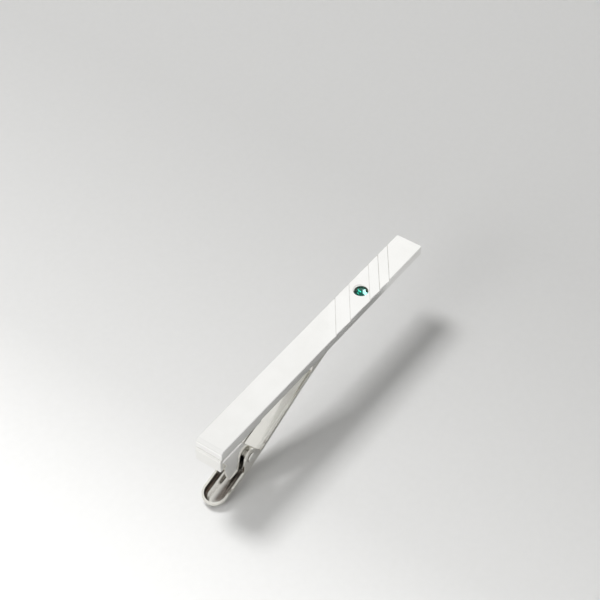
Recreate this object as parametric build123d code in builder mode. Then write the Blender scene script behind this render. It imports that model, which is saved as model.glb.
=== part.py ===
from build123d import *
import math
import os

# Tie bar with a sprung alligator grip.
# Frame: millimetres, +Z up towards the front face that is seen when worn, +X along the bar
# towards its free end, origin on the bar's rear face where the jaw closes, on the centre line.

# ---------------------------------------------------------------- driving dimensions
BAR_L = 55.0            # length of the front bar
BAR_W = 5.0             # width of the front bar
BAR_T = 1.6             # thickness of the front bar
GRIP_FROM_END = 27.5    # from the hinge end of the bar to the jaw's bite
X0 = -GRIP_FROM_END     # x of the bar's hinge end
X1 = X0 + BAR_L         # x of the bar's free end
NOSE_R = 0.75           # bull nose along the hinge end's front edge
EDGE_R = 0.12           # polished-over long edges
CORNER_R = 0.35         # corners of the free end, in plan

# slanting facet cuts, measured from the hinge end along the centre line
CUT_X = [33.3, 37.3, 42.9, 45.75, 48.6]
CUT_START = 29.9        # where the first facet's flat begins
CUT_LEAN = math.atan2(6.8, 5.0)   # angle of a cut from the bar's width direction
CUT_DEPTH = 0.2         # depth of a facet at its step
CUT_SHARE = 0.58        # share of each facet's width that slopes down

# stone, in a drilled blind seat
GEM_X = 40.55
GEM_Y = -0.03
SEAT_R = 1.16
SEAT_RIM = 0.18         # countersunk rim of the seat
SEAT_DEPTH = 0.98       # below the front face
GEM_R = 1.10
GEM_TABLE_R = 0.60
GEM_TOP = 0.16          # table below the front face
GEM_CROWN = 0.32
GEM_GIRDLE = 0.07
GEM_BASE = 0.17         # below the girdle
GEM_BACK_R = 1.00
FOIL_T = 0.04

# bracket, folded from sheet
SHEET = 0.55
WALL_W = 4.80           # width of the end wall and tongue
WALL_OUT = 0.25         # the wall's outer face stands this far past the bar's end
TOP_BEND_R = 0.38       # outer radius of the fold between tongue and wall
TONGUE_L = 10.0
SOLDER_T = 0.05
LEG_Z = -3.10           # underside of the return leg, below the bar's rear face
LEG_L = 6.2             # return leg, from the hinge end
EAR_OUT = 1.40          # outer face of each bracket ear from the centre plane
BEND_R = 0.62           # outer bend radius

# hinge, measured from the hinge end and from the bar's rear face
PIN_X = X0 + 7.5
PIN_Z = -6.9
PIN_R = 0.55
PIN_HOLE_R = 0.60       # running hole in the lever
BOSS_R = 1.50           # bracket ear round the pin
LEVER_BOSS_R = 1.55     # lever ear round the pin

# lever, pressed from sheet
LEVER_T = 0.36
TAIL_X = X0 - 1.25      # end of the thumb tail
TAIL_Z = -12.20         # underside at the tail's end
KNEE_X = PIN_X + 0.3
KNEE_Z = -9.72          # underside under the pin
JAW_X = X0 + 29.0       # end of the jaw
JAW_Z = -1.95           # underside at the jaw's end
FLANGE_H = 1.42         # height of the channel's flanges, underside to rim
PIN_HW = 2.15           # half width at the pin
JAW_HW = 1.80           # half width at the jaw
TAIL_R = 2.18           # rounded end of the tail, in plan
LEVER_OUT_R = 0.92      # outer radius of the channel's long bends
LEVER_IN_R = 0.56       # inner radius of the same bends
KNEE_R = 20.0           # gentle bend under the pin
TOOTH_PITCH = 0.62
TOOTH_H = 0.42
JAW_GAP = 0.04          # between the tooth tips and the bar at rest

# spring
WIRE_R = 0.18
COIL_R = 0.92           # mean radius
COIL_TURNS = 3.0
COIL_PITCH = 0.395

os.makedirs("parts", exist_ok=True)


def tail_z(x):
    """Underside of the tail at x."""
    return TAIL_Z + (x - TAIL_X) * (KNEE_Z - TAIL_Z) / (KNEE_X - TAIL_X)


def arm_z(x):
    """Underside of the arm at x."""
    return KNEE_Z + (x - KNEE_X) * (JAW_Z - KNEE_Z) / (JAW_X - KNEE_X)


# ---------------------------------------------------------------- front bar
with BuildPart() as front_bar:
    with BuildSketch(Plane.XY) as outline:
        with Locations((X0 + BAR_L / 2, 0)):
            Rectangle(BAR_L, BAR_W)
        fillet(outline.vertices().group_by(Axis.X)[-1], CORNER_R)
    extrude(amount=BAR_T)
    # bull nose across the hinge end
    fillet(
        front_bar.edges().filter_by(Axis.Y).group_by(Axis.X)[0].sort_by(Axis.Z)[-1],
        NOSE_R,
    )
    # polished-over front edges
    long_edges = front_bar.edges().filter_by(Axis.X).group_by(Axis.Z)[-1]
    fillet(long_edges, EDGE_R)
    # slanting facets: each runs level, slopes down, and ends in a step at its line
    step_dir = Vector(math.sin(CUT_LEAN), math.cos(CUT_LEAN), 0)
    across = Vector(math.cos(CUT_LEAN), -math.sin(CUT_LEAN), 0)
    last = CUT_START
    for cut in CUT_X:
        run = (cut - last) * math.cos(CUT_LEAN) * CUT_SHARE
        face = Plane(
            origin=(X0 + cut, 0, BAR_T), x_dir=across, z_dir=step_dir * -1
        )
        with BuildSketch(face):
            with BuildLine():
                Polyline((-run, 0), (0, -CUT_DEPTH), (0, 0.6), (-run, 0.6), close=True)
            make_face()
        extrude(amount=9, both=True, mode=Mode.SUBTRACT)
        last = cut
    # drilled seat for the stone
    with BuildSketch(Plane.XY.offset(BAR_T - SEAT_DEPTH)):
        with Locations((X0 + GEM_X, GEM_Y)):
            Circle(SEAT_R)
    extrude(amount=SEAT_DEPTH + 0.5, mode=Mode.SUBTRACT)
    # its countersunk rim
    with BuildSketch(Plane.XY.offset(BAR_T - 0.05 - SEAT_RIM)):
        with Locations((X0 + GEM_X, GEM_Y)):
            Circle(SEAT_R)
    extrude(amount=0.5, taper=-45, mode=Mode.SUBTRACT)
front_bar.part.label = "front_bar"
export_step(front_bar.part, "parts/front_bar.step")

# ---------------------------------------------------------------- stone, foil and cement
gem_top = BAR_T - GEM_TOP
gem_girdle_top = gem_top - GEM_CROWN
gem_girdle_low = gem_girdle_top - GEM_GIRDLE
gem_back = gem_girdle_low - GEM_BASE
seat_floor = BAR_T - SEAT_DEPTH

with BuildPart() as crystal:
    # crown facets from the girdle up to the table
    with BuildSketch(Plane.XY.offset(gem_girdle_top)):
        with Locations((X0 + GEM_X, GEM_Y)):
            RegularPolygon(GEM_R, 16)
    with BuildSketch(Plane.XY.offset(gem_top)):
        with Locations((X0 + GEM_X, GEM_Y)):
            RegularPolygon(GEM_TABLE_R, 16)
    loft(ruled=True)
    # girdle
    with BuildSketch(Plane.XY.offset(gem_girdle_low)):
        with Locations((X0 + GEM_X, GEM_Y)):
            RegularPolygon(GEM_R, 16)
    extrude(amount=GEM_GIRDLE)
    # base
    with BuildSketch(Plane.XY.offset(gem_back)):
        with Locations((X0 + GEM_X, GEM_Y)):
            RegularPolygon(GEM_BACK_R, 16)
    with BuildSketch(Plane.XY.offset(gem_girdle_low)):
        with Locations((X0 + GEM_X, GEM_Y)):
            RegularPolygon(GEM_R, 16)
    loft(ruled=True)
crystal.part.label = "crystal"
export_step(crystal.part, "parts/crystal.step")

with BuildPart() as crystal_foil:
    with BuildSketch(Plane.XY.offset(gem_back - FOIL_T)):
        with Locations((X0 + GEM_X, GEM_Y)):
            RegularPolygon(GEM_BACK_R, 16)
    extrude(amount=FOIL_T)
crystal_foil.part.label = "crystal_foil"
export_step(crystal_foil.part, "parts/crystal_foil.step")

with BuildPart() as gem_cement:
    # pool under the stone
    with BuildSketch(Plane.XY.offset(seat_floor)):
        with Locations((X0 + GEM_X, GEM_Y)):
            Circle(SEAT_R)
    extrude(amount=gem_back - FOIL_T - seat_floor)
gem_cement.part.label = "gem_cement"
export_step(gem_cement.part, "parts/gem_cement.step")

# ---------------------------------------------------------------- hinge bracket
tongue_top = -SOLDER_T
wall_hw = WALL_W / 2
with BuildPart() as bracket_fold:
    # side profile of the fold: tongue, end wall and return leg
    with BuildSketch(Plane.XZ) as fold:
        with BuildLine():
            Polyline(
                (X0 + TONGUE_L, tongue_top),
                (X0 - WALL_OUT, tongue_top),
                (X0 - WALL_OUT, LEG_Z),
                (X0 + LEG_L, LEG_Z),
                (X0 + LEG_L, LEG_Z + SHEET),
                (X0 - WALL_OUT + SHEET, LEG_Z + SHEET),
                (X0 - WALL_OUT + SHEET, tongue_top - SHEET),
                (X0 + TONGUE_L, tongue_top - SHEET),
                close=True,
            )
        make_face()
        fillet(
            fold.vertices().group_by(Axis.X)[0].sort_by(Axis.Y)[0], BEND_R
        )
        fillet(
            fold.vertices().sort_by_distance((X0 - WALL_OUT, tongue_top, 0))[0], TOP_BEND_R
        )
        fillet(
            fold.vertices().filter_by(
                lambda v: abs(v.X - (X0 - WALL_OUT + SHEET)) < 1e-6
            ),
            0.12,
        )
    extrude(amount=wall_hw, both=True)
    # the return leg is narrower than the wall; the wall's lower corners are rounded
    with BuildSketch(Plane.YZ.offset(X0 - 1)) as corner_cut:
        Rectangle(12, 12)
        with BuildSketch(mode=Mode.SUBTRACT) as keep:
            with BuildLine():
                Polyline(
                    (-wall_hw, 1),
                    (-wall_hw, LEG_Z),
                    (wall_hw, LEG_Z),
                    (wall_hw, 1),
                    close=True,
                )
            make_face()
            fillet(keep.vertices().group_by(Axis.Y)[0], 0.7)
    extrude(amount=TONGUE_L + 3, mode=Mode.SUBTRACT)
    with BuildSketch(Plane.XY.offset(LEG_Z - 1)) as leg_trim:
        with Locations((X0 + 1.35 + 6, 0)):
            Rectangle(12, 8)
        with Locations((X0 + 1.35 + 6, 0)):
            Rectangle(12, 2 * EAR_OUT, mode=Mode.SUBTRACT)
    extrude(amount=1 + SHEET + 0.3, mode=Mode.SUBTRACT)

with BuildPart() as hinge_bracket:
    add(bracket_fold.part)
    # ears, bent down from the return leg's sides
    with BuildSketch(Plane.XZ.offset(-EAR_OUT)) as ear:
        with BuildLine():
            Polyline(
                (X0 + 1.45, LEG_Z + SHEET),
                (X0 + 1.62, LEG_Z - 0.9),
                (X0 + 2.80, PIN_Z - BOSS_R),
                (PIN_X, PIN_Z - BOSS_R),
                (PIN_X, PIN_Z),
                (X0 + LEG_L, LEG_Z + SHEET),
                close=True,
            )
        make_face()
        fillet(
            ear.vertices().sort_by_distance((X0 + 2.80, 0, PIN_Z - BOSS_R))[0], 0.55
        )
        with Locations((PIN_X, PIN_Z)):
            Circle(BOSS_R)
        with BuildLine():
            Polyline(
                (X0 + LEG_L - 2, LEG_Z + 0.2),
                (X0 + LEG_L, LEG_Z + SHEET),
                (PIN_X + BOSS_R * math.cos(0.42), PIN_Z + BOSS_R * math.sin(0.42)),
                (PIN_X, PIN_Z),
                close=True,
            )
        make_face()
    extrude(amount=SHEET)
    mirror(about=Plane.XZ)
    # outer bends between the return leg and the ears
    fillet(
        hinge_bracket.edges()
        .filter_by(Axis.X)
        .filter_by(
            lambda e: abs(abs(e.center().Y) - EAR_OUT) < 1e-4
            and abs(e.center().Z - LEG_Z - SHEET) < 1e-4
        ),
        0.45,
    )
    with BuildSketch(Plane.XZ.offset(-5)):
        with Locations((PIN_X, PIN_Z)):
            Circle(PIN_R)
    extrude(amount=10, mode=Mode.SUBTRACT)
hinge_bracket.part.label = "hinge_bracket"
export_step(hinge_bracket.part, "parts/hinge_bracket.step")

# ---------------------------------------------------------------- solder film and end bead
with BuildPart() as solder_seam:
    with BuildSketch(Plane.XY.offset(-SOLDER_T)):
        with Locations((X0 + TONGUE_L / 2 + 0.15, 0)):
            Rectangle(TONGUE_L - 0.3, WALL_W - 0.3)
    extrude(amount=SOLDER_T)
    with BuildSketch(Plane.XZ) as bead:
        with BuildLine():
            Polyline(
                (X0 + TONGUE_L, 0),
                (X0 + TONGUE_L + 0.45, 0),
                (X0 + TONGUE_L + 0.16, -0.16),
                (X0 + TONGUE_L, -0.45),
                close=True,
            )
        make_face()
    extrude(amount=WALL_W / 2 - 0.3, both=True)
solder_seam.part.label = "solder_seam"
export_step(solder_seam.part, "parts/solder_seam.step")

# ---------------------------------------------------------------- lever
jaw_rim = -JAW_GAP
jaw_start = JAW_X - 3.9


def lever_half_plan():
    """One side of the channel's outline in plan: from the round tail, to which it is tangent,
    to the widest place at the pin and the slimmer jaw."""
    cx = TAIL_X + TAIL_R
    px = PIN_X - 1.6 - cx
    lean = math.acos(TAIL_R / math.hypot(PIN_HW, px)) - math.atan2(px, PIN_HW)
    return [
        (cx - TAIL_R * math.sin(lean), TAIL_R * math.cos(lean)),
        (PIN_X - 1.6, PIN_HW),
        (PIN_X + 2.6, PIN_HW),
        (JAW_X - 6.0, JAW_HW),
        (JAW_X, JAW_HW),
    ]


half_plan = lever_half_plan()
other_half = [(x, -y) for x, y in half_plan]


def smooth_corners(sketch):
    """The outline's shallow corners beside and past the pin."""
    return sketch.vertices().filter_by(
        lambda v: min(abs(v.X - x) for x in (PIN_X - 1.6, PIN_X + 2.6, JAW_X - 6.0)) < 1e-4
    )


def cavity_floor_edges(builder):
    """Edges where a channel's underside, tail and arm, meets its upright sides."""
    down = [f for f in builder.faces() if f.normal_at().Z < -0.85]
    found = []
    for f in down:
        for e in f.edges():
            t = e % 0.5
            if abs(t.Y) > 0.98 and abs(e.center().Y) < 0.2 and e.length > 2.5 and e.geom_type == GeomType.LINE:
                continue   # across the knee or along the jaw's end
            found.append(e)
    return ShapeList(found)


with BuildPart() as lever_cavity:
    # space inside the channel, open upwards
    with BuildSketch(Plane.XZ) as cavity_side:
        rise_tail = LEVER_T / math.cos(math.atan2(KNEE_Z - TAIL_Z, KNEE_X - TAIL_X))
        rise_arm = LEVER_T / math.cos(math.atan2(JAW_Z - KNEE_Z, JAW_X - KNEE_X))
        with BuildLine():
            Polyline(
                (TAIL_X - 2, tail_z(TAIL_X - 2) + rise_tail),
                (KNEE_X, KNEE_Z + rise_arm),
                (JAW_X + 2, arm_z(JAW_X + 2) + rise_arm),
                (JAW_X + 2, 4),
                (TAIL_X - 2, 4),
                close=True,
            )
        make_face()
        fillet(
            cavity_side.vertices().sort_by_distance((KNEE_X, 0, KNEE_Z + rise_arm))[0],
            KNEE_R - LEVER_T,
        )
    extrude(amount=5, both=True)
    with BuildSketch(Plane.XY.offset(-20)) as cavity_plan:
        with BuildLine():
            Polyline(*half_plan)
            Polyline(*other_half)
            Line(half_plan[-1], other_half[-1])
            ThreePointArc(half_plan[0], (TAIL_X, 0), other_half[0])
        make_face()
        fillet(smooth_corners(cavity_plan), 8.0)
        offset(amount=-LEVER_T)
    extrude(amount=30, mode=Mode.INTERSECT)
    # inner bends between the floor and the flanges
    floor = cavity_floor_edges(lever_cavity)
    fillet(floor, LEVER_IN_R)

with BuildPart() as lever_arm:
    # outer side profile: underside, jaw, rims, ears
    with BuildSketch(Plane.XZ) as side:
        flank = PIN_X + 2.45
        with BuildLine():
            teeth = []
            n_teeth = 6
            x = JAW_X
            teeth.append((JAW_X, JAW_Z + 0.5))
            for i in range(n_teeth):
                teeth.append((JAW_X - 0.08 - i * TOOTH_PITCH, jaw_rim))
                teeth.append(
                    (JAW_X - 0.08 - (i + 0.72) * TOOTH_PITCH, jaw_rim - TOOTH_H)
                )
            end = JAW_X - 0.08 - n_teeth * TOOTH_PITCH
            Polyline(
                (TAIL_X - 0.5, tail_z(TAIL_X - 0.5)),
                (KNEE_X, KNEE_Z),
                (JAW_X, JAW_Z),
                *teeth,
                (end, jaw_rim),
                (end - 1.1, arm_z(end - 1.1) + FLANGE_H + 0.25),
                (flank, arm_z(flank) + FLANGE_H),
                (PIN_X + LEVER_BOSS_R * 0.80, PIN_Z + LEVER_BOSS_R * 0.60),
                (PIN_X - LEVER_BOSS_R * 0.93, PIN_Z + LEVER_BOSS_R * 0.36),
                (PIN_X - 2.05, tail_z(PIN_X - 2.05) + FLANGE_H),
                (TAIL_X - 0.5, tail_z(TAIL_X - 0.5) + FLANGE_H),
                close=True,
            )
        make_face()
        with Locations((PIN_X, PIN_Z)):
            Circle(LEVER_BOSS_R)
        fillet(side.vertices().sort_by_distance((KNEE_X, 0, KNEE_Z))[0], KNEE_R)
    extrude(amount=5, both=True)
    with BuildSketch(Plane.XY.offset(-20)) as plan:
        with BuildLine():
            Polyline(*half_plan)
            Polyline(*other_half)
            Line(half_plan[-1], other_half[-1])
            ThreePointArc(half_plan[0], (TAIL_X, 0), other_half[0])
        make_face()
        fillet(smooth_corners(plan), 8.0)
    extrude(amount=30, mode=Mode.INTERSECT)
    # outer bends between the floor and the flanges
    fillet(cavity_floor_edges(lever_arm), LEVER_OUT_R)
    add(lever_cavity.part, mode=Mode.SUBTRACT)
    # teeth across the turned-up nose
    with BuildSketch(Plane.YZ.offset(JAW_X - LEVER_T - 0.05)):
        for k in (-1.05, -0.35, 0.35, 1.05):
            with BuildLine():
                Polyline((k - 0.27, 0.1), (k, jaw_rim - TOOTH_H), (k + 0.27, 0.1), close=True)
            make_face()
    extrude(amount=LEVER_T + 0.5, mode=Mode.SUBTRACT)
    # running holes for the pin
    with BuildSketch(Plane.XZ.offset(-5)):
        with Locations((PIN_X, PIN_Z)):
            Circle(PIN_HOLE_R)
    extrude(amount=10, mode=Mode.SUBTRACT)
lever_arm.part.label = "lever_arm"
export_step(lever_arm.part, "parts/lever_arm.step")

# ---------------------------------------------------------------- hinge pin, riveted
with BuildPart() as hinge_pin:
    head_in = PIN_HW + 0.04
    with BuildSketch(Plane.XZ.offset(-head_in)):
        with Locations((PIN_X, PIN_Z)):
            Circle(PIN_R)
    extrude(amount=2 * head_in)
    for side_sign in (1, -1):
        with BuildSketch(Plane.XZ.offset(side_sign * head_in)):
            with Locations((PIN_X, PIN_Z)):
                Circle(0.92)
        extrude(amount=side_sign * 0.26)
    fillet(
        hinge_pin.edges().filter_by(GeomType.CIRCLE).group_by(Axis.Y)[0], 0.18
    )
    fillet(
        hinge_pin.edges().filter_by(GeomType.CIRCLE).group_by(Axis.Y)[-1], 0.18
    )
hinge_pin.part.label = "hinge_pin"
export_step(hinge_pin.part, "parts/hinge_pin.step")

# ---------------------------------------------------------------- torsion spring
# Side view about the pin: one leg runs from the coil's top to the underside of the return leg,
# the other from its bottom to the tail's floor. Angles from +X towards +Z, in degrees.


def tangent_point(qx, qz, turn):
    """Angle on the coil's circle where the straight leg to (qx, qz) leaves it, and the leg's length."""
    d = math.hypot(qx - PIN_X, qz - PIN_Z)
    bearing = math.degrees(math.atan2(qz - PIN_Z, qx - PIN_X))
    opening = math.degrees(math.acos(COIL_R / d))
    return bearing + turn * opening, math.sqrt(d * d - COIL_R * COIL_R)


leg_a_end = (X0 + 3.2, LEG_Z - WIRE_R - 0.01)
leg_b_x = X0 + 5.1
leg_b_end = (leg_b_x, tail_z(leg_b_x) + (LEVER_T + WIRE_R) / math.cos(math.atan2(KNEE_Z - TAIL_Z, KNEE_X - TAIL_X)) + 0.01)
angle_a, length_a = tangent_point(*leg_a_end, -1)
angle_b, length_b = tangent_point(*leg_b_end, 1)
sweep_deg = COIL_TURNS * 360 + (angle_a - angle_b) % 360
coil_h = COIL_PITCH * sweep_deg / 360
with BuildLine() as coil_line:
    Helix(
        COIL_PITCH,
        coil_h,
        COIL_R,
        center=(PIN_X, -coil_h / 2, PIN_Z),
        direction=(0, 1, 0),
    )
coil_path = coil_line.line.rotate(Axis((PIN_X, 0, PIN_Z), (0, 1, 0)), 90 - angle_a)
with BuildPart() as torsion_spring:
    with BuildSketch(Plane(origin=coil_path @ 0, z_dir=coil_path % 0)):
        Circle(WIRE_R)
    sweep(path=coil_path, is_frenet=True)
    for root, (ex, ez) in ((coil_path @ 0, leg_a_end), (coil_path @ 1, leg_b_end)):
        tip = Vector(ex, root.Y, ez)
        with Locations(root):
            Sphere(WIRE_R * 1.04)
        with BuildSketch(Plane(origin=root, z_dir=(tip - root).normalized())):
            Circle(WIRE_R)
        extrude(amount=(tip - root).length)
torsion_spring.part.label = "torsion_spring"
export_step(torsion_spring.part, "parts/torsion_spring.step")
print("coil angles", angle_a, angle_b, "turns", sweep_deg / 360, "half width", coil_h / 2 + WIRE_R)
print("legs", leg_a_end, leg_b_end, length_a, length_b, "coil ends", coil_path @ 0, coil_path @ 1)

for name, bp in (
    ("front_bar", front_bar), ("crystal", crystal), ("crystal_foil", crystal_foil),
    ("gem_cement", gem_cement), ("hinge_bracket", hinge_bracket), ("solder_seam", solder_seam),
    ("lever_arm", lever_arm), ("hinge_pin", hinge_pin), ("torsion_spring", torsion_spring),
):
    b = bp.part.bounding_box()
    print(
        f"{name:15s} solids {len(bp.part.solids())} volume {bp.part.volume:8.3f} "
        f"x {b.min.X:7.2f}..{b.max.X:7.2f} y {b.min.Y:6.2f}..{b.max.Y:6.2f} z {b.min.Z:7.2f}..{b.max.Z:6.2f} "
        f"valid {bp.part.is_valid}"
    )
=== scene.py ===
import math
import random

import bmesh
import bpy
from mathutils import Matrix, Vector, noise


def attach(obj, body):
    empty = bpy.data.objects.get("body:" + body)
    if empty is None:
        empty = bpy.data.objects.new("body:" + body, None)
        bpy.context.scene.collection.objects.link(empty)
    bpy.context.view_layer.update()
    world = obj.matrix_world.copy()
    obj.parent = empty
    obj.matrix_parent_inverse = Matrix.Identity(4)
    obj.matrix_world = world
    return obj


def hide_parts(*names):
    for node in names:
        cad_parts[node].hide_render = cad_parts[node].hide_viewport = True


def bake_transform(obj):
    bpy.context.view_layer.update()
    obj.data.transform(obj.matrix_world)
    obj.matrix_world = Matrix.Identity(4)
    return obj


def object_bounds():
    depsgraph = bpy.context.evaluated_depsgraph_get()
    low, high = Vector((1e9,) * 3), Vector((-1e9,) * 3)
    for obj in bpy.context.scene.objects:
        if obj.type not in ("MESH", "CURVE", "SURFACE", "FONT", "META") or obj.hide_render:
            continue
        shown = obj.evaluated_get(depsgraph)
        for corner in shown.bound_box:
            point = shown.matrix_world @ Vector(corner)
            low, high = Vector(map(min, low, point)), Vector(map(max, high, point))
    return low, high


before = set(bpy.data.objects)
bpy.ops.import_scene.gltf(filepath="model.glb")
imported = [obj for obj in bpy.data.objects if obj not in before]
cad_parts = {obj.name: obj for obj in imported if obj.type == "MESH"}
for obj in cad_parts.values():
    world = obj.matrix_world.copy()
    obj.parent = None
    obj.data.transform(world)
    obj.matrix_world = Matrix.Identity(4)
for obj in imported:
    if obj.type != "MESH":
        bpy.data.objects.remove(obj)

lo0, hi0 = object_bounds()
CAD_BOX = [[float(v) for v in lo0], [float(v) for v in hi0]]
MM = 0.001
rng = random.Random(7)

# ------------------------------------------------------------------ camera
scene = bpy.context.scene
cam_data = bpy.data.cameras.new("camera")
cam_data.sensor_width = 36.0
cam_data.sensor_fit = "HORIZONTAL"
cam_data.lens = 99.009
cam_data.clip_start = 0.005
cam_data.clip_end = 20.0
cam = bpy.data.objects.new("camera", cam_data)
scene.collection.objects.link(cam)
RIGHT = Vector((0.586931, -0.809569, -0.010514))
UP = Vector((0.583605, 0.414037, 0.698554))
FORWARD = Vector((0.561174, 0.416139, -0.715480))
m = Matrix.Identity(4)
for i, v in enumerate((RIGHT, UP, -FORWARD)):
    for j in range(3):
        m[j][i] = v[j]
m.translation = Vector((-0.1454425, -0.1050490, 0.1939256))
cam.matrix_world = m
scene.camera = cam

# ------------------------------------------------------------------ node helpers


def new_material(name):
    mat = bpy.data.materials.new(name)
    mat.use_nodes = True
    nt = mat.node_tree
    nt.nodes.clear()
    out = nt.nodes.new("ShaderNodeOutputMaterial")
    bsdf = nt.nodes.new("ShaderNodeBsdfPrincipled")
    nt.links.new(bsdf.outputs[0], out.inputs[0])
    return mat, nt, bsdf


def place(nt, scale=(1, 1, 1), rot=(0, 0, 0)):
    """Position on the piece, in its own frame, stretched and turned."""
    tc = nt.nodes.new("ShaderNodeTexCoord")
    mp = nt.nodes.new("ShaderNodeMapping")
    mp.inputs["Scale"].default_value = scale
    mp.inputs["Rotation"].default_value = rot
    nt.links.new(tc.outputs["Object"], mp.inputs["Vector"])
    return mp.outputs[0]


def noise_tex(nt, vector, scale, detail=2.0, rough=0.5, distortion=0.0):
    n = nt.nodes.new("ShaderNodeTexNoise")
    n.inputs["Scale"].default_value = scale
    n.inputs["Detail"].default_value = detail
    n.inputs["Roughness"].default_value = rough
    n.inputs["Distortion"].default_value = distortion
    nt.links.new(vector, n.inputs["Vector"])
    return n.outputs["Fac"]


def ramp(nt, fac, stops, interpolation="LINEAR"):
    r = nt.nodes.new("ShaderNodeValToRGB")
    r.color_ramp.interpolation = interpolation
    els = r.color_ramp.elements
    while len(els) < len(stops):
        els.new(0.5)
    for e, (pos, col) in zip(els, stops):
        e.position = pos
        if isinstance(col, (int, float)):
            col = (col, col, col, 1)
        elif len(col) == 3:
            col = (*col, 1)
        e.color = col
    nt.links.new(fac, r.inputs[0])
    return r.outputs[0]


def math_node(nt, op, a, b=None, c=None, clamp=False):
    n = nt.nodes.new("ShaderNodeMath")
    n.operation = op
    n.use_clamp = clamp
    for i, v in enumerate((a, b, c)):
        if v is None:
            continue
        if isinstance(v, (int, float)):
            n.inputs[i].default_value = v
        else:
            nt.links.new(v, n.inputs[i])
    return n.outputs[0]


def map_range(nt, v, a, b, c=0.0, d=1.0, smooth=True):
    n = nt.nodes.new("ShaderNodeMapRange")
    n.interpolation_type = "SMOOTHSTEP" if smooth else "LINEAR"
    n.inputs["From Min"].default_value = a
    n.inputs["From Max"].default_value = b
    n.inputs["To Min"].default_value = c
    n.inputs["To Max"].default_value = d
    nt.links.new(v, n.inputs["Value"])
    return n.outputs[0]


def mix_color(nt, fac, a, b, mode="MIX"):
    n = nt.nodes.new("ShaderNodeMix")
    n.data_type = "RGBA"
    n.blend_type = mode
    for key, v in (("Factor", fac), ("A", a), ("B", b)):
        sock = [s for s in n.inputs if s.name == key and s.type == ("VALUE" if key == "Factor" else "RGBA")][0]
        if isinstance(v, (int, float)):
            sock.default_value = v
        elif isinstance(v, tuple):
            sock.default_value = (*v[:3], 1)
        else:
            nt.links.new(v, sock)
    return [s for s in n.outputs if s.type == "RGBA"][0]


def bump(nt, height, strength, distance, normal=None):
    n = nt.nodes.new("ShaderNodeBump")
    n.inputs["Strength"].default_value = strength
    n.inputs["Distance"].default_value = distance
    nt.links.new(height, n.inputs["Height"])
    if normal is not None:
        nt.links.new(normal, n.inputs["Normal"])
    return n.outputs[0]


def hairlines(nt, scale, rot, width, seed_scale=1.0):
    """Sparse fine scratches: the level lines of a noise stretched along one direction."""
    v = place(nt, scale=scale, rot=rot)
    f = noise_tex(nt, v, 1.0 * seed_scale, detail=1.0)
    d = math_node(nt, "ABSOLUTE", math_node(nt, "SUBTRACT", f, 0.5))
    line = map_range(nt, d, 0.0, width, 1.0, 0.0)
    # broken up, so that no line runs the whole way
    g = noise_tex(nt, place(nt, scale=(260, 260, 260), rot=(0.3, 0.2, rot[2])), 1.0, detail=1.0)
    return math_node(nt, "MULTIPLY", line, map_range(nt, g, 0.50, 0.62))


def metal(name, low, high, rough, grain, grain_amount, scratch_amount, smudge_amount,
          bump_distance, wear=None, wear_color=None, scratch_rots=(0.35, -0.6, 1.2), pits=0.0,
          painted_shade_mask=None, painted_shade_color=None):
    """Plated or polished metal: tint that drifts a little, polishing grain, hairline
    scratches, faint smudges, and wear along the edges named by `wear`."""
    mat, nt, b = new_material(name)
    b.inputs["Metallic"].default_value = 1.0
    drift = noise_tex(nt, place(nt), 190.0, detail=3.0)
    color = ramp(nt, drift, [(0.35, low), (0.65, high)])
    g = noise_tex(nt, place(nt, scale=grain), 1.0, detail=3.0, rough=0.6)
    lines = None
    for k, r in enumerate(scratch_rots):
        h = hairlines(nt, (300 + 90 * k, 5200 + 900 * k, 900), (0, 0, r), 0.006)
        lines = h if lines is None else math_node(nt, "MAXIMUM", lines, h)
    smudge = noise_tex(nt, place(nt, scale=(210, 160, 180)), 1.0, detail=4.0, rough=0.62, distortion=0.6)
    r0 = math_node(nt, "MULTIPLY_ADD", map_range(nt, g, 0.3, 0.75), grain_amount, rough)
    r1 = math_node(nt, "MULTIPLY_ADD", lines, scratch_amount, r0)
    r2 = math_node(nt, "MULTIPLY_ADD", map_range(nt, smudge, 0.48, 0.75), smudge_amount, r1)
    if wear is not None:
        w = wear(nt)
        spots = noise_tex(nt, place(nt), 1400.0, detail=3.0, rough=0.7)
        w = math_node(nt, "MULTIPLY", w, map_range(nt, spots, 0.42, 0.62))
        color = mix_color(nt, w, color, wear_color)
        r2 = math_node(nt, "MULTIPLY_ADD", w, 0.12, r2)
    # painted shade: this mask darkens the colour toward the given dark colour (the lever's trough)
    if painted_shade_mask is not None:
        painted_shade_amount = painted_shade_mask(nt)
        cloud = noise_tex(nt, place(nt), 820.0, detail=4.0, rough=0.6)
        painted_shade_amount = math_node(nt, "MULTIPLY", painted_shade_amount, map_range(nt, cloud, 0.25, 0.60, 0.80, 1.0))
        color = mix_color(nt, painted_shade_amount, color, painted_shade_color)
        r2 = math_node(nt, "MULTIPLY_ADD", painted_shade_amount, 0.10, r2)
    height = math_node(nt, "MULTIPLY_ADD", lines, -1.0, math_node(nt, "MULTIPLY", g, 0.55))
    if pits:
        p = noise_tex(nt, place(nt), 2600.0, detail=2.0)
        height = math_node(nt, "MULTIPLY_ADD", map_range(nt, p, 0.60, 0.72), -pits, height)
    nt.links.new(color, b.inputs["Base Color"])
    nt.links.new(math_node(nt, "MINIMUM", r2, 0.65), b.inputs["Roughness"])
    nt.links.new(bump(nt, height, 0.6, bump_distance), b.inputs["Normal"])
    return mat


def axis_value(nt, axis, absolute=False):
    tc = nt.nodes.new("ShaderNodeTexCoord")
    s = nt.nodes.new("ShaderNodeSeparateXYZ")
    nt.links.new(tc.outputs["Object"], s.inputs[0])
    v = s.outputs[axis]
    return math_node(nt, "ABSOLUTE", v) if absolute else v


# ------------------------------------------------------------------ mesh helpers


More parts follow.
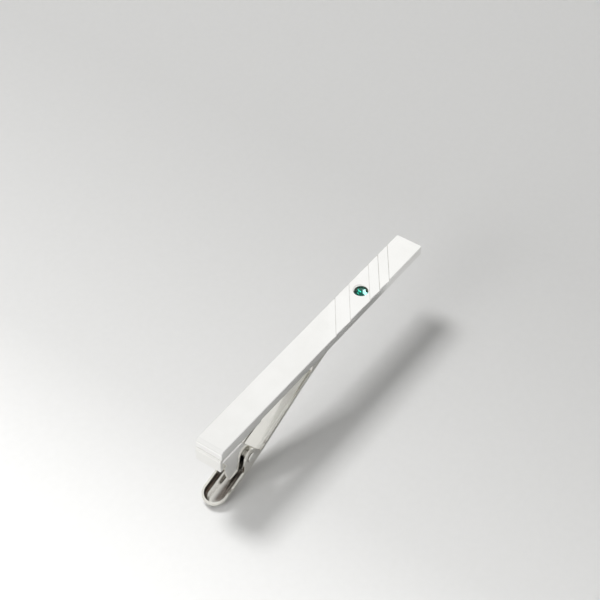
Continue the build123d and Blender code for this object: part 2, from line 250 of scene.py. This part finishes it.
def finish_object(name, bm, material, body, node=None, smooth=38.0):
    bmesh.ops.recalc_face_normals(bm, faces=bm.faces)
    me = bpy.data.meshes.new(name)
    bm.to_mesh(me)
    bm.free()
    me.materials.append(material)
    for p in me.polygons:
        p.use_smooth = True
    me.set_sharp_from_angle(angle=math.radians(smooth))
    ob = bpy.data.objects.new(name, me)
    scene.collection.objects.link(ob)
    if body:
        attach(ob, body)
    if node:
        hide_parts(node)
    return ob


def set_normals(bm, me, rounds):
    """Flat faces keep their own normal right up to the edge rounds, which blend between them."""
    bm.normal_update()
    normals = []
    for f in bm.faces:
        own = f in rounds
        for loop in f.loops:
            v = loop.vert
            around = [g for g in v.link_faces if g not in rounds]
            if own and around:
                shared = [g for e in f.edges if v in e.verts for g in e.link_faces if g not in rounds]
                pick = max(shared or around, key=lambda g: g.normal.dot(f.normal))
                ref = pick.normal
            elif own:
                around, ref = [g for g in v.link_faces], f.normal
            else:
                ref = f.normal
            total = Vector()
            for g in around:
                if g.normal.dot(ref) > 0.88:
                    total += g.normal * (g.calc_area() + 1e-12)
            normals.append((total if total.length > 0 else f.normal).normalized())
    for p in me.polygons:
        p.use_smooth = True
    me.normals_split_custom_set(normals)


def refined(node, name, material, body, width, segments=2, sharp=38.0, extra=None):
    """The node's shape with its cut edges broken by a small round, as tumbling leaves them.
    The rounds carry the attribute edge_wear."""
    bm = bmesh.new()
    bm.from_mesh(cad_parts[node].data)
    bmesh.ops.remove_doubles(bm, verts=bm.verts, dist=2e-7)
    bmesh.ops.dissolve_limit(bm, angle_limit=math.radians(0.6), verts=bm.verts, edges=bm.edges, delimit=set())
    if extra:
        extra(bm)
    box = [[f_(v.co[i] for v in bm.verts) for i in range(3)] for f_ in (min, max)]
    layer = bm.loops.layers.float.new("edge_wear")
    edges = [e for e in bm.edges if len(e.link_faces) == 2 and math.degrees(e.calc_face_angle(0)) > sharp]
    made = bmesh.ops.bevel(bm, geom=edges, offset=width, offset_type="OFFSET", segments=segments, profile=0.5,
                           affect="EDGES", clamp_overlap=False)
    rounds = set(made["faces"])
    for f in rounds:
        for loop in f.loops:
            loop[layer] = 1.0
    for v in bm.verts:
        for i in range(3):
            v.co[i] = min(max(v.co[i], box[0][i]), box[1][i])
    bmesh.ops.recalc_face_normals(bm, faces=bm.faces)
    me = bpy.data.meshes.new(name)
    bm.to_mesh(me)
    me.materials.append(material)
    set_normals(bm, me, rounds)
    bm.free()
    ob = bpy.data.objects.new(name, me)
    scene.collection.objects.link(ob)
    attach(ob, body)
    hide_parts(node)
    return ob


def tube(points, radius, sides=20, radii=None, caps=True):
    """Round wire along points, closed at both ends with a rounded cap."""
    bm = bmesh.new()
    pts = [Vector(p) for p in points]
    n = len(pts)
    tangents = []
    for i in range(n):
        a, b = pts[max(0, i - 1)], pts[min(n - 1, i + 1)]
        tangents.append((b - a).normalized())
    ref = Vector((0, 1, 0)) if abs(tangents[0].y) < 0.9 else Vector((1, 0, 0))
    normal = (ref - tangents[0] * ref.dot(tangents[0])).normalized()
    rings = []
    for i in range(n):
        t = tangents[i]
        normal = (normal - t * normal.dot(t)).normalized()
        side = t.cross(normal)
        r = radii[i] if radii else radius
        rings.append([bm.verts.new(pts[i] + (normal * math.cos(a) + side * math.sin(a)) * r)
                      for a in (2 * math.pi * k / sides for k in range(sides))])
    for a, b in zip(rings, rings[1:]):
        for k in range(sides):
            bm.faces.new((a[k], a[(k + 1) % sides], b[(k + 1) % sides], b[k]))
    if caps:
        for ring, t, flip in ((rings[0], -tangents[0], True), (rings[-1], tangents[-1], False)):
            centre = sum((v.co for v in ring), Vector()) / sides
            inner = [bm.verts.new(centre + (v.co - centre) * 0.82 + t * radius * 0.16) for v in ring]
            for k in range(sides):
                bm.faces.new((ring[k], ring[(k + 1) % sides], inner[(k + 1) % sides], inner[k]))
            bm.faces.new(inner)
    return bm


def lathe(profile, axis_point, axis, sides=64, wobble=None):
    """Closed solid of revolution. profile runs from axis to axis as (radius, height)."""
    bm = bmesh.new()
    axis = Vector(axis).normalized()
    u = Vector((1, 0, 0)) if abs(axis.x) < 0.9 else Vector((0, 1, 0))
    u = (u - axis * u.dot(axis)).normalized()
    w = axis.cross(u)
    p0 = Vector(axis_point)
    rings = []
    for i, (r, h) in enumerate(profile):
        if r <= 1e-9:
            rings.append([bm.verts.new(p0 + axis * h)])
            continue
        ring = []
        for k in range(sides):
            a = 2 * math.pi * k / sides
            dr, dh = wobble(i, a, r, h) if wobble else (0.0, 0.0)
            ring.append(bm.verts.new(p0 + axis * (h + dh) + (u * math.cos(a) + w * math.sin(a)) * (r + dr)))
        rings.append(ring)
    for a, b in zip(rings, rings[1:]):
        for k in range(sides):
            k2 = (k + 1) % sides
            if len(a) == 1 and len(b) == 1:
                continue
            if len(a) == 1:
                bm.faces.new((a[0], b[k2], b[k]))
            elif len(b) == 1:
                bm.faces.new((a[k], a[k2], b[0]))
            else:
                bm.faces.new((a[k], a[k2], b[k2], b[k]))
    return bm


# ------------------------------------------------------------------ materials
def broken_edges(nt):
    a = nt.nodes.new("ShaderNodeAttribute")
    a.attribute_type = "GEOMETRY"
    a.attribute_name = "edge_wear"
    return a.outputs["Fac"]


def trough_painted_shade(nt):
    """Painted shade in the thumb tail's trough, deepest in the corner and up the walls, and a painted dark
    reflection, heavier on one half of the floor."""
    tc = nt.nodes.new("ShaderNodeTexCoord")
    sp = nt.nodes.new("ShaderNodeSeparateXYZ")
    nt.links.new(tc.outputs["Object"], sp.inputs[0])
    x, y, z = sp.outputs
    h = math_node(nt, "ADD", math_node(nt, "MULTIPLY_ADD", x, -0.2740, z), 0.0039495)
    ax = math_node(nt, "MINIMUM", math_node(nt, "ADD", x, 0.02657), 0.0)
    rho = math_node(nt, "SQRT", math_node(nt, "MULTIPLY_ADD", ax, ax, math_node(nt, "MULTIPLY", y, y)))
    within = map_range(nt, rho, 0.00186, 0.00190, 1.0, 0.0)
    below = map_range(nt, h, 0.00088, 0.00100, 1.0, 0.0)
    above = map_range(nt, h, -0.00020, -0.00012)
    tail = map_range(nt, x, -0.0216, -0.0206, 1.0, 0.0)
    # painted shade, deepest in the corner and up the trough's walls
    wall = map_range(nt, rho, 0.00122, 0.00148)
    # painted dark reflection, heavier on the near half of the trough's floor
    near = map_range(nt, y, -0.00055, 0.00012, 0.84, 0.20)
    end = map_range(nt, x, -0.0282, -0.0268)
    v = math_node(nt, "MAXIMUM", wall, math_node(nt, "MULTIPLY", near, end))
    for k in (within, below, above, tail):
        v = math_node(nt, "MULTIPLY", v, k)
    return v


BAR = metal("polished_bar", (0.855, 0.853, 0.840), (0.885, 0.884, 0.874), 0.045, (120, 5200, 5200), 0.035,
            0.10, 0.05, 1.2e-6, wear=broken_edges, wear_color=(0.76, 0.73, 0.66))
SHEET = metal("plated_sheet", (0.840, 0.835, 0.815), (0.875, 0.870, 0.852), 0.070, (900, 900, 2400), 0.05,
              0.12, 0.06, 2.0e-6, wear=broken_edges, wear_color=(0.74, 0.70, 0.61))
# the lever's trough carries painted shade and a painted dark reflection, in the dark colour given below
LEVER = metal("lever_sheet", (0.700, 0.690, 0.655), (0.755, 0.745, 0.705), 0.085, (330, 3600, 1800), 0.06,
              0.14, 0.07, 2.5e-6, wear=broken_edges, wear_color=(0.72, 0.66, 0.58), pits=0.4,
              painted_shade_mask=trough_painted_shade, painted_shade_color=(0.100, 0.072, 0.056))
PIN = metal("pin_metal", (0.690, 0.680, 0.655), (0.740, 0.730, 0.700), 0.14, (2600, 2600, 2600), 0.08,
            0.10, 0.05, 4.0e-6, pits=0.6)
WIRE = metal("spring_wire", (0.450, 0.440, 0.425), (0.560, 0.550, 0.530), 0.20, (2600, 2600, 2600), 0.10,
             0.10, 0.06, 3.0e-6, pits=0.5)


def solder_material():
    mat, nt, b = new_material("solder")
    b.inputs["Metallic"].default_value = 1.0
    n = noise_tex(nt, place(nt), 1700.0, detail=5.0, rough=0.65)
    nt.links.new(ramp(nt, n, [(0.32, (0.36, 0.35, 0.33)), (0.5, (0.58, 0.57, 0.54)), (0.7, (0.70, 0.69, 0.66))]),
                 b.inputs["Base Color"])
    nt.links.new(map_range(nt, n, 0.3, 0.7, 0.42, 0.24), b.inputs["Roughness"])
    v = nt.nodes.new("ShaderNodeTexVoronoi")
    v.inputs["Scale"].default_value = 5200.0
    nt.links.new(place(nt), v.inputs["Vector"])
    h = math_node(nt, "MULTIPLY_ADD", v.outputs["Distance"], 0.4, n)
    nt.links.new(bump(nt, h, 0.7, 1.2e-5), b.inputs["Normal"])
    return mat


def cement_material():
    mat, nt, b = new_material("cement")
    n = noise_tex(nt, place(nt), 2300.0, detail=4.0, rough=0.6)
    nt.links.new(ramp(nt, n, [(0.3, (0.42, 0.38, 0.27)), (0.7, (0.66, 0.61, 0.48))]), b.inputs["Base Color"])
    nt.links.new(map_range(nt, n, 0.3, 0.7, 0.32, 0.55), b.inputs["Roughness"])
    b.inputs["IOR"].default_value = 1.53
    b.inputs["Subsurface Weight"].default_value = 0.15
    b.inputs["Subsurface Radius"].default_value = (0.0006, 0.0005, 0.0003)
    nt.links.new(bump(nt, n, 0.5, 1.5e-5), b.inputs["Normal"])
    return mat


def foil_material():
    mat, nt, b = new_material("stone_foil")
    b.inputs["Metallic"].default_value = 1.0
    n = noise_tex(nt, place(nt), 3200.0, detail=4.0, rough=0.6)
    nt.links.new(ramp(nt, n, [(0.3, (0.80, 0.84, 0.82)), (0.7, (0.92, 0.94, 0.93))]), b.inputs["Base Color"])
    nt.links.new(map_range(nt, n, 0.3, 0.75, 0.03, 0.10), b.inputs["Roughness"])
    nt.links.new(bump(nt, n, 0.25, 2.0e-6), b.inputs["Normal"])
    return mat


def stone_material():
    mat, nt, b = new_material("green_stone")
    n = noise_tex(nt, place(nt), 900.0, detail=2.0)
    nt.links.new(ramp(nt, n, [(0.3, (0.004, 0.088, 0.060)), (0.7, (0.007, 0.114, 0.079))]), b.inputs["Base Color"])
    f = noise_tex(nt, place(nt), 5200.0, detail=3.0)
    nt.links.new(map_range(nt, f, 0.35, 0.75, 0.0, 0.02), b.inputs["Roughness"])
    b.inputs["IOR"].default_value = 1.56
    b.inputs["Specular Tint"].default_value = (0.36, 0.92, 0.82, 1.0)
    b.inputs["Specular IOR Level"].default_value = 0.34
    b.inputs["Transmission Weight"].default_value = 1.0
    return mat


SOLDER = solder_material()
CEMENT = cement_material()
FOIL = foil_material()
STONE = stone_material()

# ------------------------------------------------------------------ front bar, bracket, lever
bar = refined("front_bar", "bar_front", BAR, "bar", 0.025 * MM, segments=2)
bracket = refined("hinge_bracket", "bracket_fold", SHEET, "bar", 0.055 * MM, segments=3)


def pressed_tail(bm):
    """The thumb tail's inner floor is pressed a little hollow, lowest toward its far flange."""
    slope = 0.2740
    up = Vector((-slope, 0, 1)).normalized()

    def height(co):
        return co.z / MM - (-11.827 + slope * (co.x / MM + 28.75))

    def floor_faces():
        return [f for f in bm.faces if f.normal.dot(up) > 0.995 and abs(height(f.calc_center_median())) < 0.06
                and f.calc_center_median().x < -21.0 * MM]

    bm.normal_update()
    for axis, first, step, count in ((0, -27.75, 0.40, 18), (1, -1.25, 0.10, 26)):
        for k in range(count):
            co = [0.0, 0.0, 0.0]
            co[axis] = (first + step * k) * MM
            no = [0.0, 0.0, 0.0]
            no[axis] = 1.0
            faces = floor_faces()
            geom = faces + list({e for f in faces for e in f.edges}) + list({v for f in faces for v in f.verts})
            bmesh.ops.bisect_plane(bm, geom=geom, dist=1e-8, plane_co=co, plane_no=no)
    knots = [(-1.26, 0.0), (-0.95, 0.085), (0.40, -0.10), (1.26, 0.0)]
    for v in {v for f in floor_faces() for v in f.verts}:
        x, y, z = v.co / MM
        reach = math.hypot(min(0.0, x + 26.57), y) / 1.26
        if reach >= 0.999 or abs(height(v.co)) > 0.03:
            continue
        for (ya, ha), (yb, hb) in zip(knots, knots[1:]):
            if ya <= y <= yb:
                t = (y - ya) / (yb - ya)
                t = t * t * (3 - 2 * t) * 0.5 + t * 0.5
                d = ha + (hb - ha) * t
        fade = min(1.0, max(0.0, (-21.2 - x) / 1.4)) * min(1.0, (1.0 - reach) / 0.16)
        fade = fade * fade * (3 - 2 * fade)
        v.co.z += d * fade * MM


lever = refined("lever_arm", "lever_channel", LEVER, "lever", 0.045 * MM, segments=3,
                extra=pressed_tail)

# ------------------------------------------------------------------ stone, foil, cement
GX, GY = 13.05, -0.03
TABLE_Z, CULET_Z, TABLE_R, STONE_R = 1.44, 0.885, 0.32, 1.10
CROWN_SLOPE, RIM_SLOPE, BREAK, BASE_SLOPE = 0.30, 0.42, 0.72, 0.22
TURN = math.radians(24.5)
APOTHEM = TABLE_R * math.cos(math.pi / 8)


def stone_point(r, angle, z):
    return Vector((GX + r * math.cos(angle), GY + r * math.sin(angle), z)) * MM


def nearest_main(angle):
    """Angle from the middle of the facet that the direction falls in."""
    step = math.pi / 4
    return ((angle - TURN) % step) - step / 2


def crown_z(r, angle):
    d = r * math.cos(nearest_main(angle))
    return TABLE_Z - CROWN_SLOPE * (min(d, BREAK) - APOTHEM) - RIM_SLOPE * max(0.0, d - BREAK)


def base_z(r, angle):
    return CULET_Z + BASE_SLOPE * r * math.cos(nearest_main(angle))


def stone_mesh():
    """Eight-sided table, two rows of eight crown facets, thin girdle, eight base facets."""
    bm = bmesh.new()
    table = [bm.verts.new(stone_point(TABLE_R, TURN + math.pi / 4 * k, TABLE_Z)) for k in range(8)]
    per = 6
    n = 8 * per
    top, low = [], []
    for k in range(n):
        a = TURN + 2 * math.pi * k / n
        # a facet border belongs to both neighbours
        inside = a + (1e-9 if k % per == 0 else 0.0)
        top.append(bm.verts.new(stone_point(STONE_R, a, crown_z(STONE_R, inside))))
        low.append(bm.verts.new(stone_point(STONE_R, a, base_z(STONE_R, inside))))
    rb = BREAK / math.cos(math.pi / 8)
    mid = [bm.verts.new(stone_point(rb, TURN + math.pi / 4 * k, crown_z(rb, TURN + math.pi / 4 * k + 1e-9)))
           for k in range(8)]
    culet = bm.verts.new(stone_point(0, 0, CULET_Z))
    bm.faces.new(table)
    for k in range(8):
        rim = [(per * k + i) % n for i in range(per + 1)]
        k2 = (k + 1) % 8
        bm.faces.new((table[k], mid[k], mid[k2], table[k2]))
        bm.faces.new([mid[k]] + [top[i] for i in rim] + [mid[k2]])
        bm.faces.new([culet] + [low[i] for i in rim])
    for k in range(n):
        k2 = (k + 1) % n
        bm.faces.new((top[k], top[k2], low[k2], low[k]))
    return bm


bm = stone_mesh()
bmesh.ops.recalc_face_normals(bm, faces=bm.faces)
me = bpy.data.meshes.new("stone")
bm.to_mesh(me)
bm.free()
me.materials.append(STONE)
stone = bpy.data.objects.new("stone", me)
scene.collection.objects.link(stone)
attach(stone, "bar")
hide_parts("crystal")


def foil_mesh():
    bm = bmesh.new()
    gap, thick = -0.003, 0.024
    rings = []
    for dz in (-gap, -gap - thick):
        low = [bm.verts.new(stone_point(1.085, TURN + math.pi / 24 * k,
                                        base_z(1.085, TURN + math.pi / 24 * k + 1e-9) + dz)) for k in range(48)]
        cul = bm.verts.new(stone_point(0, 0, CULET_Z + dz))
        rings.append(low)
        for k in range(8):
            bm.faces.new([cul] + [low[(6 * k + i) % 48] for i in range(7)])
    a, b = rings
    for k in range(48):
        bm.faces.new((a[k], a[(k + 1) % 48], b[(k + 1) % 48], b[k]))
    return bm


foil = finish_object("foil_back", foil_mesh(), FOIL, "bar", "crystal_foil", smooth=2.0)


def cement_wobble(i, a, r, h):
    if r < 1.09:
        return 0.0, 0.0
    n = noise.noise(Vector((math.cos(a) * 2.1, math.sin(a) * 2.1, i * 0.35)))
    return 0.0, (0.035 * n if h > 0.7 else 0.0)


prof = [(0, 0.622), (0.6, 0.622), (1.06, 0.622), (1.145, 0.635), (1.155, 0.80), (1.155, 1.10), (1.145, 1.12),
        (1.120, 1.10), (1.105, 1.05), (1.02, 1.005), (0.8, 0.95), (0.45, 0.88), (0, 0.845)]
bm = lathe([(r * MM, h * MM) for r, h in prof], (GX * MM, GY * MM, 0), (0, 0, 1), sides=96,
           wobble=lambda i, a, r, h: tuple(v * MM for v in cement_wobble(i, a, r / MM, h / MM)))
cement = finish_object("cement_bed", bm, CEMENT, "bar", "gem_cement", smooth=60)

# ------------------------------------------------------------------ hinge pin with riveted heads
PX, PZ = -20.0, -6.9


def pin_wobble(i, a, r, h):
    side = 1 if h > 0 else -1
    n = noise.noise(Vector((math.cos(a) * 1.6, math.sin(a) * 1.6, side * 3.0)))
    m_ = noise.noise(Vector((math.cos(a) * 5.0, math.sin(a) * 5.0, side * 7.0 + i * 0.5)))
    if r > 0.7:
        return 0.018 * n - 0.012, side * 0.006 * m_
    if 0.25 < r < 0.55 and abs(h) > 2.3:
        return 0.0, side * -0.006 * abs(m_)
    return 0.0, 0.0


half = [(0.0, 2.392), (0.10, 2.392), (0.17, 2.412), (0.23, 2.444), (0.30, 2.447), (0.44, 2.440), (0.58, 2.426),
        (0.70, 2.402), (0.80, 2.368), (0.87, 2.325), (0.905, 2.280), (0.912, 2.240), (0.895, 2.205), (0.86, 2.192),
        (0.72, 2.190), (0.60, 2.186), (0.549, 2.176), (0.549, 1.6), (0.549, 0.8)]
prof = [(r, h) for r, h in half] + [(0.549, 0.0)] + [(r, -h) for r, h in reversed(half)]
bm = lathe([(r * MM, h * MM) for r, h in prof], (PX * MM, 0, PZ * MM), (0, 1, 0), sides=72,
           wobble=lambda i, a, r, h: tuple(v * MM for v in pin_wobble(i, a, r / MM, h / MM)))
pin = finish_object("rivet_pin", bm, PIN, "bar", "hinge_pin", smooth=60)

# ------------------------------------------------------------------ torsion spring
WIRE_R, COIL_R, TURNS = 0.18, 0.92, 3.31126
Y_HALF = 0.654


def ease(t):
    return t * t * (3 - 2 * t)


def spring_points():
    pts = []
    a0 = math.radians(59.4165)
    start = Vector((PX + COIL_R * math.cos(a0), -Y_HALF, PZ + COIL_R * math.sin(a0)))
    a_end = Vector((-24.3, -Y_HALF, -3.29))
    # upper leg, straight, its end bearing on the bracket
    n = 26
    for k in range(n):
        t = k / n
        p = a_end.lerp(start, t)
        pts.append(p)
    turns = TURNS * 2 * math.pi
    steps = 220
    for k in range(steps + 1):
        t = k / steps
        a = a0 - turns * t
        # the pitch eases in and out where the legs leave the coil
        s = t
        ramp_w = 0.06
        if s < ramp_w:
            yy = 0.5 * s * s / ramp_w
        elif s > 1 - ramp_w:
            yy = (1 - ramp_w) - 0.5 * (1 - s) ** 2 / ramp_w
        else:
            yy = s - ramp_w / 2
        yy /= (1 - ramp_w)
        pts.append(Vector((PX + COIL_R * math.cos(a), -Y_HALF + 2 * Y_HALF * yy, PZ + COIL_R * math.sin(a))))
    end = pts[-1].copy()
    b_end = Vector((-22.4, Y_HALF, -9.875))
    for k in range(1, n + 1):
        pts.append(end.lerp(b_end, k / n))
    return [p * MM for p in pts]


bm = tube(spring_points(), WIRE_R * MM, sides=20)
spring = finish_object("spring_coil", bm, WIRE, None, None, smooth=50)
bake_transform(spring)
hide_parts("torsion_spring")

# ------------------------------------------------------------------ solder


def solder_mesh():
    """Film between tongue and bar, squeezed out as an uneven bead along the tongue's end."""
    bm = bmesh.new()
    n = 60
    rings = []
    for k in range(n + 1):
        y = -2.22 + 4.44 * k / n
        e = abs(y) / 2.22
        swell = math.sqrt(max(0.0, 1 - e ** 6))
        w = 0.30 * swell + 0.05 * noise.noise(Vector((y * 1.7, 3.1, 0.4)))
        w = max(0.04, min(0.43, w + 0.06))
        h = max(0.10, min(0.43, 0.26 + 0.17 * swell * (0.8 + 0.5 * noise.noise(Vector((y * 1.3, 9.2, 1.7))))))
        x0 = -17.5
        ring = [(-26.9, -0.001), (x0 + w + 0.01, -0.001), (x0 + w * 0.72, -0.02), (x0 + w * 0.46, -h * 0.22),
                (x0 + w * 0.26, -h * 0.48), (x0 + w * 0.11, -h * 0.78), (x0 + 0.004, -h), (x0 + 0.004, -0.049),
                (-26.9, -0.049)]
        rings.append([bm.verts.new(Vector((x, y, z)) * MM) for x, z in ring])
    for a, b in zip(rings, rings[1:]):
        for i in range(len(a)):
            j = (i + 1) % len(a)
            bm.faces.new((a[i], a[j], b[j], b[i]))
    bm.faces.new(rings[0])
    bm.faces.new(rings[-1])
    return bm


solder = finish_object("solder_bead", solder_mesh(), SOLDER, "bar", "solder_seam", smooth=70)

# ------------------------------------------------------------------ floor, light, world
FLOOR_Z = CAD_BOX[0][2] - 0.00002


def floor_object():
    bm = bmesh.new()
    s = 3.0
    vs = [bm.verts.new((x, y, FLOOR_Z)) for x, y in ((-s, -s), (s, -s), (s, s), (-s, s))]
    bm.faces.new(vs)
    me = bpy.data.meshes.new("floor")
    bm.to_mesh(me)
    bm.free()
    mat, nt, b = new_material("pale_floor")
    n = noise_tex(nt, place(nt), 900.0, detail=4.0)
    grain = ramp(nt, n, [(0.3, (0.985, 0.985, 0.982)), (0.7, (1.0, 1.0, 0.998))])
    # painted light falloff: the floor's colour runs from near white at the left to mid grey at the right, as if lit
    # from the left
    painted_falloff = map_range(nt, axis_value(nt, 0), -0.060, 0.050, smooth=False)
    painted_falloff_tone = ramp(nt, painted_falloff, [(0.14, (0.950, 0.949, 0.943)), (0.40, (0.690, 0.689, 0.684)),
                           (1.0, (0.540, 0.539, 0.535))], "B_SPLINE")
    nt.links.new(mix_color(nt, 1.0, painted_falloff_tone, grain, "MULTIPLY"), b.inputs["Base Color"])
    b.inputs["Roughness"].default_value = 0.9
    b.inputs["Specular IOR Level"].default_value = 0.1
    me.materials.append(mat)
    ob = bpy.data.objects.new("floor", me)
    scene.collection.objects.link(ob)


floor_object()


def area(name, direction, distance, size, power, glossy=True, target=(-0.003, 0, -0.004), spread=180):
    d = bpy.data.lights.new(name, "AREA")
    d.spread = math.radians(spread)
    d.shape = "RECTANGLE"
    d.size, d.size_y = size
    d.energy = power
    o = bpy.data.objects.new(name, d)
    scene.collection.objects.link(o)
    v = Vector(direction).normalized()
    o.location = Vector(target) + v * distance
    o.rotation_euler = (-v).to_track_quat("-Z", "Y").to_euler()
    o.visible_camera = False
    o.visible_glossy = glossy
    o.visible_transmission = glossy
    return o


area("key", (0.12, 0.54, 0.83), 0.9, (0.26, 0.26), 5.3, glossy=False)
area("left", (-0.86, 0.22, 0.46), 0.5, (0.30, 0.30), 0.19, glossy=False, target=(-0.036, 0.0, -0.0119), spread=60)

# small lamps for the stone's sparkle, which light the stone alone and leave no streak on the bar
stone_only = bpy.data.collections.new("stone_only")
stone_only.objects.link(stone)


def stone_lamp(name, direction, radius_deg, radiance):
    r = 0.5 * math.tan(math.radians(radius_deg))
    o = area(name, direction, 0.5, (2 * r, 2 * r), radiance * (math.pi * r) ** 2, target=(GX * MM, GY * MM, 0.0014))
    o.data.shape = "DISK"
    o.light_linking.receiver_collection = stone_only


stone_lamp("spark_a", (0.577, -0.043, 0.815), 3.7, 30.0)
stone_lamp("spark_b", (0.834, 0.162, 0.527), 3.7, 24.0)
stone_lamp("spark_c", (0.580, -0.210, 0.787), 3.7, 30.0)
stone_lamp("diffuser", (0.58, -0.46, 0.67), 11.0, 10.5)

world = bpy.data.worlds.new("studio")
scene.world = world
world.use_nodes = True
wt = world.node_tree
wt.nodes.clear()
wout = wt.nodes.new("ShaderNodeOutputWorld")
wbg = wt.nodes.new("ShaderNodeBackground")
wt.links.new(wbg.outputs[0], wout.inputs[0])
wtc = wt.nodes.new("ShaderNodeTexCoord")
wdir = wtc.outputs["Generated"]


def toward(direction, near_deg, far_deg):
    """1 within near_deg of a direction, falling smoothly to 0 at far_deg."""
    d = wt.nodes.new("ShaderNodeVectorMath")
    d.operation = "DOT_PRODUCT"
    wt.links.new(wdir, d.inputs[0])
    d.inputs[1].default_value = Vector(direction).normalized()
    return map_range(wt, d.outputs["Value"], math.cos(math.radians(far_deg)), math.cos(math.radians(near_deg)))


def light_level(parts, start):
    """start plus each (direction, inner, outer, amount)."""
    total = start
    for direction, near_deg, far_deg, amount in parts:
        p = toward(direction, near_deg, far_deg)
        total = math_node(wt, "MULTIPLY_ADD", p, amount, total)
    return total


base = light_level([
    ((0.80, 0.42, 0.43), 14, 38, 0.26),       # large window beyond the free end
    ((-0.45, 0.50, 0.74), 30, 62, 0.15),      # white card on the left
    ((0.15, 0.76, 0.63), 8, 20, -0.35),       # darker gap between window and card
], 0.83)
lp = wt.nodes.new("ShaderNodeLightPath")
diffuse = lp.outputs["Is Diffuse Ray"]
# what the matt floor receives from the room, against what the polished metal mirrors
strength = math_node(wt, "MULTIPLY_ADD", math_node(wt, "SUBTRACT", 0.36, base), diffuse, base)
wbg.inputs["Color"].default_value = (1.0, 0.998, 0.985, 1.0)
wt.links.new(strength, wbg.inputs["Strength"])

scene.view_settings.view_transform = "Standard"
scene.view_settings.look = "None"
scene.view_settings.exposure = 0.0
scene.view_settings.gamma = 1.0
